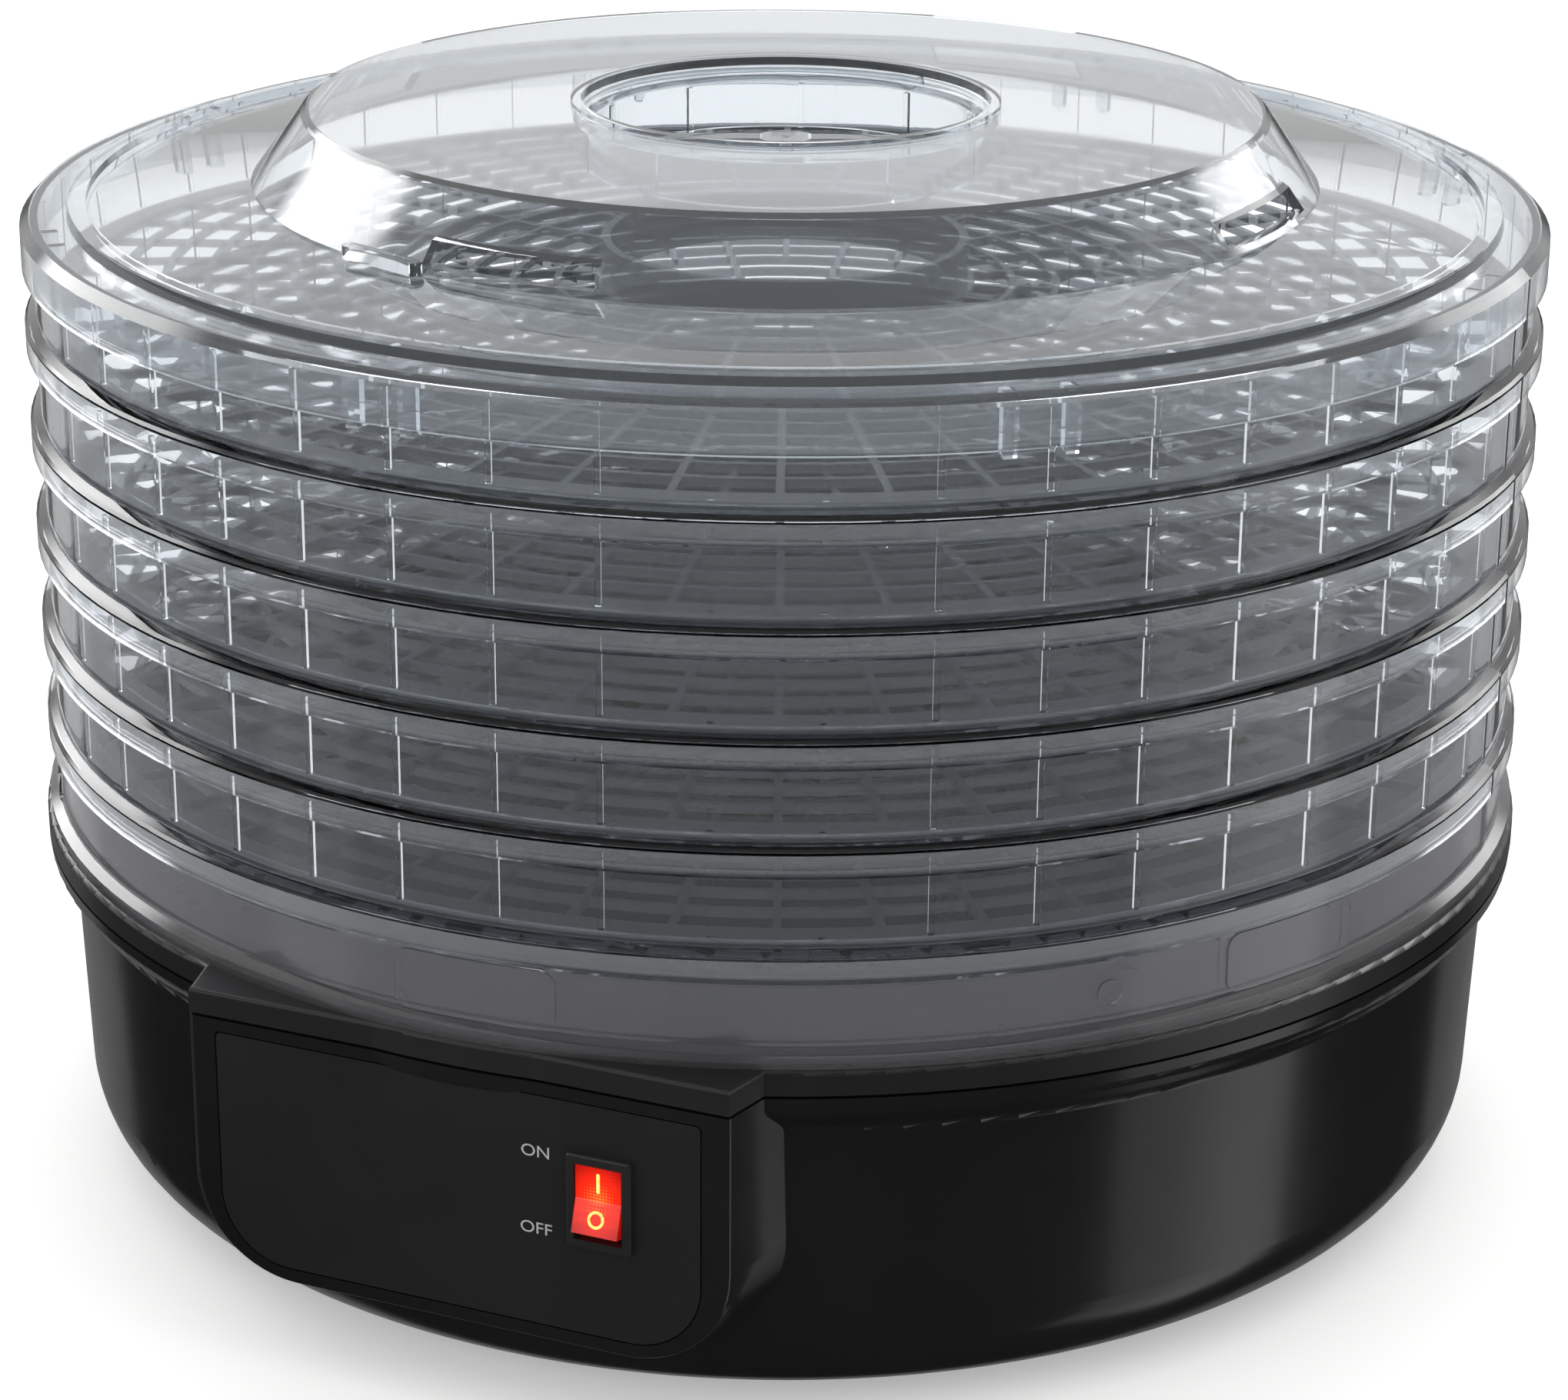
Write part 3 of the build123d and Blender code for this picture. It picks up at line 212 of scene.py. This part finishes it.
def lens_red(name):
    """Lit red rocker: a warm glow round the lamp behind it, broken by a fine prism grid."""
    s = Shader(name)
    tc = s.node("ShaderNodeTexCoord")
    shift = s.node("ShaderNodeMapping")
    shift.inputs["Location"].default_value = (-SWITCH_X * MM, 0, -(SWITCH_Z + 1.0) * MM)
    s.link(tc.outputs["Object"], shift.inputs["Vector"])
    squeeze = s.node("ShaderNodeMapping")
    squeeze.inputs["Scale"].default_value = (115, 0, 105)
    s.link(shift.outputs[0], squeeze.inputs["Vector"])
    near = s.node("ShaderNodeVectorMath", operation="LENGTH")
    s.link(squeeze.outputs[0], near.inputs[0])
    glow = s.remap(near.outputs["Value"], 1.0, 0.0, 0.0, 0.85)
    dots = s.node("ShaderNodeTexVoronoi")
    dots.inputs["Scale"].default_value = 1500
    dots.inputs["Randomness"].default_value = 0.0
    s.link(tc.outputs["Object"], dots.inputs["Vector"])
    cell = s.remap(dots.outputs["Distance"], 1.0, 0.55, 0.15, 0.6)
    lit = s.node("ShaderNodeMath", operation="MULTIPLY")
    s.link(glow, lit.inputs[0])
    s.link(cell, lit.inputs[1])
    reds = [(0.0, (0.35, 0.004, 0.002)), (0.45, (0.9, 0.02, 0.004)), (1.0, (1.0, 0.22, 0.03))]
    colour = s.ramp(lit.outputs[0], reds)
    s.link(colour, s.bsdf.inputs["Base Color"])
    s.link(colour, s.bsdf.inputs["Emission Color"])
    s.set(Emission_Strength=0.45, Roughness=0.12, Coat_Weight=0.6, Coat_Roughness=0.03)
    s.bump(dots.outputs["Distance"], 0.15, 0.00005)
    return s.mat


def glowing(name, colour, edge, strength):
    """A lit symbol with a slight mottle."""
    s = Shader(name)
    tone = s.ramp(s.noise(1500, 2), [(0.3, edge), (0.6, colour)])
    s.link(tone, s.bsdf.inputs["Base Color"])
    s.link(tone, s.bsdf.inputs["Emission Color"])
    s.set(Emission_Strength=strength, Roughness=0.3)
    return s.mat


FINISHES = (
    moulded("black_gloss", (0.006, 0.006, 0.0065), (0.010, 0.010, 0.011), (0.16, 0.24), coat=0.35),
    moulded("black_deck", (0.009, 0.009, 0.010), (0.016, 0.016, 0.017), (0.26, 0.36), grain=1400),
    moulded("panel_film", (0.010, 0.010, 0.011), (0.014, 0.014, 0.015), (0.30, 0.38), grain=2600),
    moulded("switch_black", (0.010, 0.010, 0.010), (0.018, 0.018, 0.018), (0.22, 0.34), grain=2200),
    clear("clear_plastic", (0.86, 0.88, 0.90), 1.0, (0.01, 0.03), 0.00003),
    clear("lid_plastic", (0.79, 0.82, 0.845), 0.97, (0.01, 0.03), 0.00003),
    # The floors' dark grey body is painted shade; the lattice itself is clear plastic.
    veil("floor_plastic", (0.84, 0.86, 0.88), (0.10, 0.105, 0.115), 0.50, (0.12, 0.25), 0.00004),
    clear("smoke_plastic", (0.66, 0.66, 0.69), 0.93, (0.02, 0.05), 0.00006),
    moulded(
        "rubber_feet", (0.02, 0.02, 0.02), (0.035, 0.034, 0.033), (0.7, 0.9),
        grain=1500, grain_depth=0.0001,
    ),
    metal("zinc_steel", (0.42, 0.42, 0.40), (0.66, 0.65, 0.60), (0.25, 0.45), (1, 1, 1), 300),
    metal("sheet_steel", (0.48, 0.49, 0.50), (0.64, 0.65, 0.66), (0.22, 0.40), (1, 1, 14), 40),
    metal("motor_shell", (0.05, 0.05, 0.055), (0.11, 0.11, 0.115), (0.35, 0.5), (1, 1, 4), 90),
    moulded("fan_plastic", (0.42, 0.40, 0.35), (0.52, 0.50, 0.44), (0.4, 0.55)),
    layered("mica", (0.26, 0.19, 0.10), (0.55, 0.45, 0.30), (0.3, 0.6), 220, (1, 1, 3), 0.00015),
    metal("resistance_wire", (0.10, 0.07, 0.06), (0.36, 0.28, 0.30), (0.4, 0.6), (1, 1, 1), 500),
    moulded("bakelite", (0.03, 0.018, 0.012), (0.06, 0.035, 0.02), (0.3, 0.45)),
    moulded("terminal_white", (0.62, 0.62, 0.57), (0.74, 0.74, 0.70), (0.35, 0.5)),
    layered(
        "wire_sleeve", (0.38, 0.38, 0.35), (0.52, 0.52, 0.50), (0.5, 0.7),
        260, (1, 1, 1), 0.00008,
    ),
    metal("terminal_brass", (0.50, 0.34, 0.12), (0.78, 0.60, 0.26), (0.2, 0.4), (1, 1, 1), 260),
    clear("lamp_glass", (1.0, 0.72, 0.55), 0.9, (0.02, 0.05), 0.00002),
    lens_red("rocker_red"),
    moulded("label_ink", (0.27, 0.27, 0.28), (0.36, 0.36, 0.37), (0.4, 0.55), grain=4000),
    glowing("symbol_orange", (1.0, 0.42, 0.10), (1.0, 0.25, 0.04), 1.6),
)
# Blender numbers a name that the frame already uses, so the number is dropped here.
MATS = {mat.name.split(".")[0]: mat for mat in FINISHES}

# ------------------------------------------------------- carried-over CAD nodes

slot_of = {p["node"]: p["material_slot"] for p in frame["record"]["subparts"]}
for name, obj in NODES.items():
    obj.data.materials.clear()
    # Tray floors take the lattice finish whose dark grey body is painted shade.
    finish_name = "floor_plastic" if name.endswith("_floor") else slot_of[name]
    if name in ("lid", "vent_bridge"):
        finish_name = "lid_plastic"
    obj.data.materials.append(MATS[finish_name])


# ------------------------------------------------------------------ new pieces


def keep(bm, name, material, body):
    """Turn a bmesh, in millimetres, into a piece that rides on a CAD body."""
    bmesh.ops.recalc_face_normals(bm, faces=bm.faces)
    me = bpy.data.meshes.new(name)
    bm.to_mesh(me)
    bm.free()
    me.transform(Matrix.Scale(MM, 4))
    ob = bpy.data.objects.new(name, me)
    bpy.context.scene.collection.objects.link(ob)
    me.materials.append(MATS[material])
    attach(ob, body)
    return ob


def lettering(name, words, z):
    """Flat printed letters, centred at a height on the panel and just proud of it."""
    cu = bpy.data.curves.new(name, "FONT")
    cu.body = words
    cu.align_x = "CENTER"
    cu.align_y = "CENTER"
    cu.size = 1.0
    cu.extrude = 0.02
    tmp = bpy.data.objects.new(name + "_tmp", cu)
    bpy.context.scene.collection.objects.link(tmp)
    me = bpy.data.meshes.new_from_object(tmp.evaluated_get(bpy.context.evaluated_depsgraph_get()))
    bpy.data.objects.remove(tmp)
    lo = Vector([min(v.co[i] for v in me.vertices) for i in range(3)])
    hi = Vector([max(v.co[i] for v in me.vertices) for i in range(3)])
    k = LABEL_HEIGHT / (hi.y - lo.y)
    bm = bmesh.new()
    bm.from_mesh(me)
    bmesh.ops.remove_doubles(bm, verts=bm.verts, dist=1e-5)
    mid = (lo + hi) / 2
    for v in bm.verts:
        p = v.co - mid
        out = LABEL_PROUD if p.z > 0 else -LABEL_SUNK
        v.co = Vector((LABEL_X + p.x * k * LABEL_STRETCH, PANEL_Y - out, z + p.y * k))
    return keep(bm, name, "label_ink", "base")


lettering("label_on", "ON", 61.5)
lettering("label_off", "OFF", 44.9)

# The I and O symbols stand on the two faces of the rocker.  The upper face is
# upright at rest, and the lower one slopes outwards by twice the tilt.
PIVOT = Vector((SWITCH_X, PIVOT_Y, SWITCH_Z))
TILT = math.radians(ROCKER_TILT)


def on_rocker(across, along, out):
    """A point on a rocker face: across it, along it from the middle ridge, and out from it."""
    face = Vector((across, -ROCKER_APEX - abs(along) * math.tan(TILT) - out, along))
    return PIVOT + Matrix.Rotation(-TILT, 3, "X") @ face


def rocker_mark(name, outline, hole=None):
    """A raised symbol from a ring of (across, along) points, with a ring for its hole if any."""
    bm = bmesh.new()
    n = len(outline)
    cx = sum(p[0] for p in outline) / n
    cy = sum(p[1] for p in outline) / n
    rings = []
    for out, pull in ((-SYMBOL_SUNK, 1.0), (SYMBOL_EDGE, 1.0), (SYMBOL_PROUD, SYMBOL_PULL)):
        ring = [on_rocker(cx + (x - cx) * pull, cy + (y - cy) * pull, out) for x, y in outline]
        rings.append([bm.verts.new(co) for co in ring])
    for a, b in zip(rings, rings[1:]):
        for i in range(n):
            bm.faces.new((a[i], a[(i + 1) % n], b[(i + 1) % n], b[i]))
    if hole:
        low, high = (
            [bm.verts.new(on_rocker(x, y, out)) for x, y in hole]
            for out in (-SYMBOL_SUNK, SYMBOL_PROUD)
        )
        for i in range(n):
            j = (i + 1) % n
            bm.faces.new((rings[-1][i], rings[-1][j], high[j], high[i]))
            bm.faces.new((high[i], high[j], low[j], low[i]))
            bm.faces.new((low[i], low[j], rings[0][j], rings[0][i]))
    else:
        bm.faces.new(rings[-1])
        bm.faces.new(list(reversed(rings[0])))
    return keep(bm, name, "symbol_orange", "rocker")


def stadium(cx, cy, half_w, half_h, steps=10):
    """Rounded bar outline."""
    pts = []
    for end, first in ((1, 0.0), (-1, math.pi)):
        for k in range(steps):
            a = math.pi * k / (steps - 1) + first
            y = cy + (half_h - half_w) * end + half_w * math.sin(a)
            pts.append((cx + half_w * math.cos(a), y))
    return pts


def circle(cx, cy, r, n=40):
    turns = [2 * math.pi * k / n for k in range(n)]
    return [(cx + r * math.cos(a), cy + r * math.sin(a)) for a in turns]


rocker_mark("symbol_i", stadium(0, 3.6, 0.35, 2.1))
rocker_mark("symbol_o", circle(0, -3.7, 1.75), circle(0, -3.7, 1.2))

# ---------------------------------------------------------------- stage, light

# How bright gloss sees the backdrop, the ceiling and the rest of the room, and the floor's
# own light.
BACKDROP = 0.85
CEILING = 0.5
ROOM = 0.012
FLOOR_GLOW = 0.34
# Soft boxes that gloss mirrors: bearing from and to, softness (all in degrees), lowest and
# highest direction (as the sine of its elevation), and level.
BOXES = (
    (56, 91, 2.5, -0.80, -0.10, 0.45),
    (72, 91, 8.0, -0.80, -0.10, 0.35),
    (135, 182, 4.0, -0.80, -0.10, 0.16),
    (-182, -134, 4.0, -0.80, -0.10, 0.20),
    (-84, -68, 3.0, -0.60, -0.05, 0.35),
    (-100, -40, 10.0, 0.05, 0.60, 0.9),
    (60, 105, 10.0, 0.05, 0.60, 0.7),
    (-150, -108, 4.0, 0.22, 0.58, 6.0),
    (118, 146, 4.0, 0.22, 0.50, 4.0),
)


def stage_mesh(name, bm, material):
    me = bpy.data.meshes.new(name)
    bm.to_mesh(me)
    bm.free()
    ob = bpy.data.objects.new(name, me)
    bpy.context.scene.collection.objects.link(ob)
    me.materials.append(material)
    return ob


floor_shader = Shader("studio_floor")
floor_tones = [(0.3, (0.95, 0.95, 0.945)), (0.7, (0.97, 0.97, 0.965))]
floor_shader.link(
    floor_shader.ramp(floor_shader.noise(2.0, 2), floor_tones),
    floor_shader.bsdf.inputs["Base Color"],
)
floor_shader.set(Roughness=0.7, Specular_IOR_Level=0.2)
floor_shader.set(Emission_Color=(1.0, 1.0, 0.995, 1), Emission_Strength=FLOOR_GLOW)
bm = bmesh.new()
bmesh.ops.create_grid(bm, x_segments=4, y_segments=4, size=6.0)
# The floor lights the object but isn't mirrored in it.
stage_mesh("studio_floor", bm, floor_shader.mat).visible_glossy = False


def softbox(name, centre, target, width, height, power):
    data = bpy.data.lights.new(name, "AREA")
    data.shape = "RECTANGLE"
    data.size = width
    data.size_y = height
    data.energy = power
    ob = bpy.data.objects.new(name, data)
    ob.location = centre
    ob.rotation_mode = "QUATERNION"
    ob.rotation_quaternion = (Vector(target) - Vector(centre)).to_track_quat("-Z", "Y")
    bpy.context.scene.collection.objects.link(ob)
    return ob


# Camera: its bearing about the object, distance from the axis and height in metres, pitch down
# and roll in radians, lens and sensor in millimetres, and framing shift.
CAM_TURN = math.radians(22.68)
CAM_DISTANCE = 0.8545
CAM_HEIGHT = 0.4154
CAM_DOWN = 0.3576
CAM_ROLL = 0.0080
CAM_LENS = 92.5
CAM_SENSOR = 36
CAM_SHIFT = (0.0018, -0.0011)

right = Vector((math.cos(CAM_TURN), math.sin(CAM_TURN), 0))
back = Vector((math.sin(CAM_TURN), -math.cos(CAM_TURN), 0))
up = Vector((0, 0, 1))


def around(across, depth, height):
    """A point given to the right of, nearer than, and above the object as the camera sees it."""
    return right * across + back * depth + up * height


softbox("top", around(0.0, -0.9, 1.5), (0, 0, 0.15), 1.6, 0.5, 4)

# The studio room.  What is seen directly, or through the plastic, is white all
# round.  Gloss mirrors a darker room: a pale backdrop behind the object, a soft
# ceiling, and tall soft boxes, each given by its bearing from the camera's side.
world = bpy.data.worlds.new("studio")
bpy.context.scene.world = world
world.use_nodes = True
wt = world.node_tree
sky = wt.nodes["Background"]


def wmath(op, a, b):
    n = wt.nodes.new("ShaderNodeMath")
    n.operation = op
    for i, v in enumerate((a, b)):
        if isinstance(v, (int, float)):
            n.inputs[i].default_value = v
        else:
            wt.links.new(v, n.inputs[i])
    return n.outputs[0]


def wdot(vec, axis):
    n = wt.nodes.new("ShaderNodeVectorMath")
    n.operation = "DOT_PRODUCT"
    wt.links.new(vec, n.inputs[0])
    n.inputs[1].default_value = axis
    return n.outputs["Value"]


def rise(value, lo, hi):
    """0 below lo, 1 above hi, smooth between."""
    n = wt.nodes.new("ShaderNodeMapRange")
    n.interpolation_type = "SMOOTHSTEP"
    n.inputs["From Min"].default_value = lo
    n.inputs["From Max"].default_value = hi
    wt.links.new(value, n.inputs["Value"])
    return n.outputs["Result"]


def band(value, lo, hi, soft):
    """1 between lo and hi, 0 outside, with soft ends."""
    below_top = wmath("SUBTRACT", 1.0, rise(value, hi - soft, hi + soft))
    return wmath("MULTIPLY", rise(value, lo - soft, lo + soft), below_top)


heading = wt.nodes.new("ShaderNodeTexCoord").outputs["Generated"]
bearing = wmath("ARCTAN2", wdot(heading, right), wdot(heading, back))
bearing = wmath("MULTIPLY", bearing, 180 / math.pi)
height = wdot(heading, up)
behind = rise(wdot(heading, -back), -0.35, 0.55)
above = rise(height, -0.12, 0.10)
glow = wmath("MULTIPLY", wmath("MULTIPLY", behind, above), BACKDROP)
glow = wmath("ADD", glow, wmath("MULTIPLY", rise(height, 0.45, 0.95), CEILING))
glow = wmath("ADD", glow, ROOM)
for lo, hi, soft, low, high, level in BOXES:
    patch = wmath("MULTIPLY", band(bearing, lo, hi, soft), band(height, low, high, 0.05))
    glow = wmath("ADD", glow, wmath("MULTIPLY", patch, level))
mirrored = wt.nodes.new("ShaderNodeCombineColor")
for channel in ("Red", "Green", "Blue"):
    wt.links.new(glow, mirrored.inputs[channel])
ray = wt.nodes.new("ShaderNodeLightPath")
pick = wt.nodes.new("ShaderNodeMix")
pick.data_type = "RGBA"
pick.inputs["A"].default_value = (1, 1, 0.995, 1)
wt.links.new(ray.outputs["Is Glossy Ray"], pick.inputs["Factor"])
wt.links.new(mirrored.outputs["Color"], pick.inputs["B"])
wt.links.new(pick.outputs["Result"], sky.inputs["Color"])
sky.inputs["Strength"].default_value = 1.0

forward = -back * math.cos(CAM_DOWN) - up * math.sin(CAM_DOWN)
cam_up = right.cross(forward)
r2 = right * math.cos(CAM_ROLL) + cam_up * math.sin(CAM_ROLL)
u2 = cam_up * math.cos(CAM_ROLL) - right * math.sin(CAM_ROLL)
cam_data = bpy.data.cameras.new("camera")
cam_data.sensor_width = CAM_SENSOR
cam_data.lens = CAM_LENS
cam_data.shift_x, cam_data.shift_y = CAM_SHIFT
cam_data.clip_start = 0.05
cam = bpy.data.objects.new("camera", cam_data)
bpy.context.scene.collection.objects.link(cam)
spin = Matrix((r2, u2, -forward)).transposed().to_4x4()
cam.matrix_world = Matrix.Translation(back * CAM_DISTANCE + up * CAM_HEIGHT) @ spin
bpy.context.scene.camera = cam

bpy.context.scene.view_settings.view_transform = "Standard"
bpy.context.scene.cycles.max_bounces = 20
bpy.context.scene.cycles.transmission_bounces = 20
bpy.context.scene.cycles.transparent_max_bounces = 32
